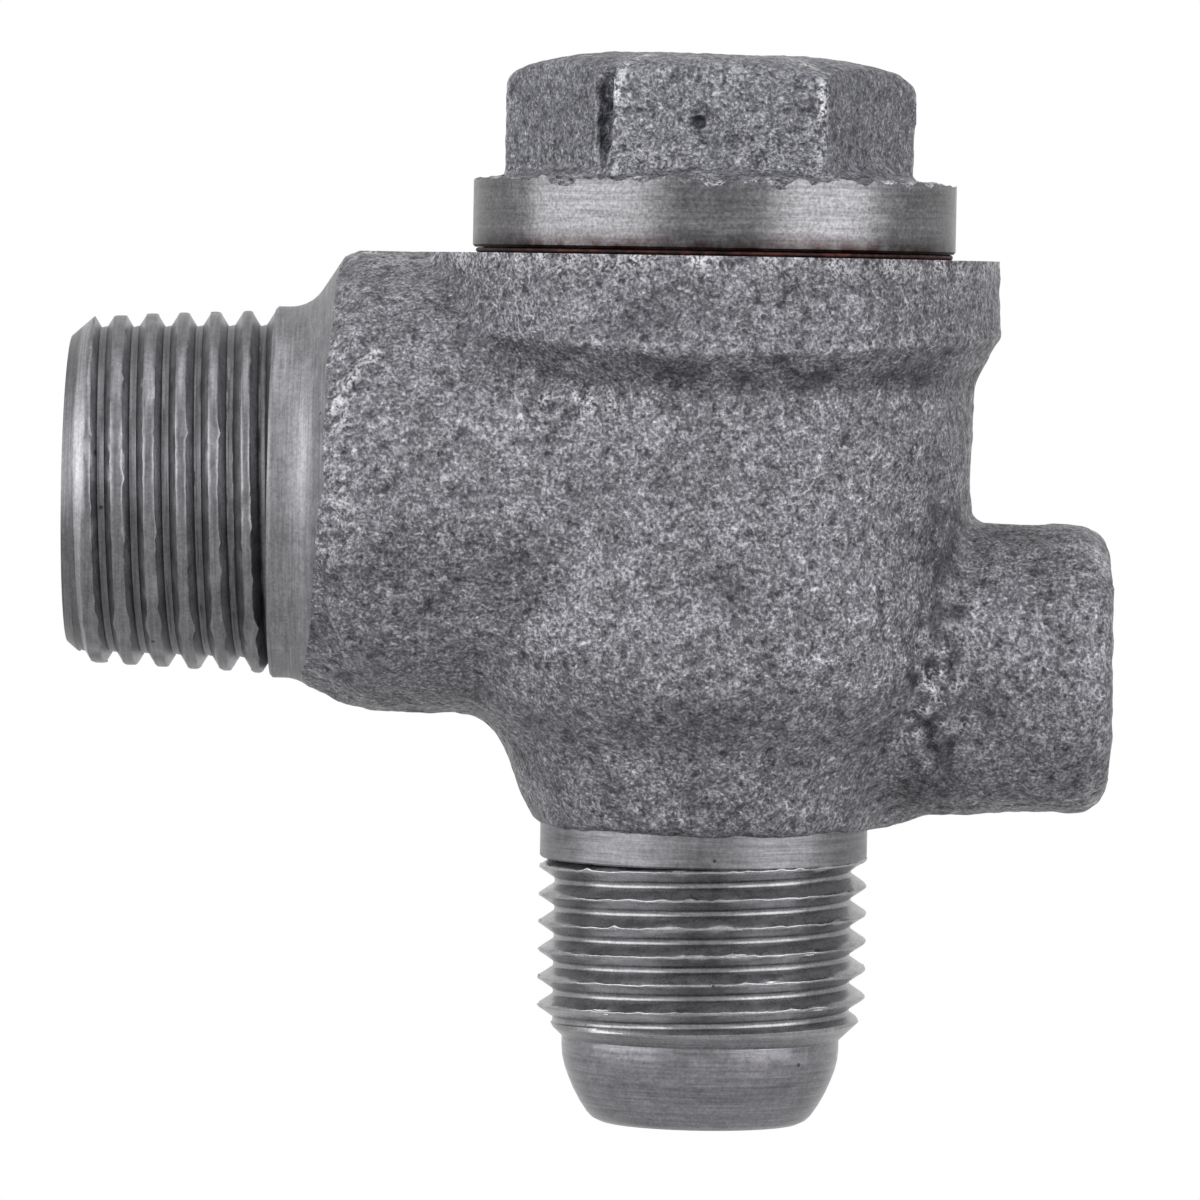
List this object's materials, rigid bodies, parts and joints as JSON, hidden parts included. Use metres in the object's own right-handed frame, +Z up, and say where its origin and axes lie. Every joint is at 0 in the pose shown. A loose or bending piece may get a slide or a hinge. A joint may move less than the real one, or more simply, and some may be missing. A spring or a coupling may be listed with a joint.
{
  "type": "compressor non-return valve",
  "caption": "Angled cast non-return valve with a male tank spigot, a coned inlet spigot, a tapped side boss and a hexagon cap over a sprung poppet.",
  "frame": {"origin": "centre of the tank spigot's open end, on its own axis", "axes": "+X runs from the tank spigot's end into the valve and out at the unloader boss; +Z runs up along the poppet's axis to the hexagon cap; +Y runs away from the side that the picture shows"},
  "size_m": [0.0593, 0.0326, 0.0609],
  "materials": {
    "cast_body": "rough as cast, turned bright at both spigots",
    "cast_cap": "rough as cast hexagon over a turned collar",
    "copper": "dull, squeezed copper",
    "poppet_brass": "turned satin",
    "seal_rubber": "matt",
    "washer_steel": "satin",
    "screw_steel": "satin",
    "spring_steel": "drawn wire"
  },
  "bodies": {
    "housing": {"valve_body": "cast_body", "hex_cap": "cast_cap", "cap_gasket": "copper", "return_spring": "spring_steel"},
    "poppet": {"valve_poppet": "poppet_brass", "seat_seal": "seal_rubber", "seal_washer": "washer_steel", "seal_screw": "screw_steel"}
  },
  "joints": [
    {"name": "poppet_lift", "type": "slide", "parent": "housing", "child": "poppet", "axis": [0, 0, 1], "range_m": [0, 0.005], "stiffness_N_per_m": 300, "springref_m": -0.005, "deforming": ["return_spring"]}
  ]
}
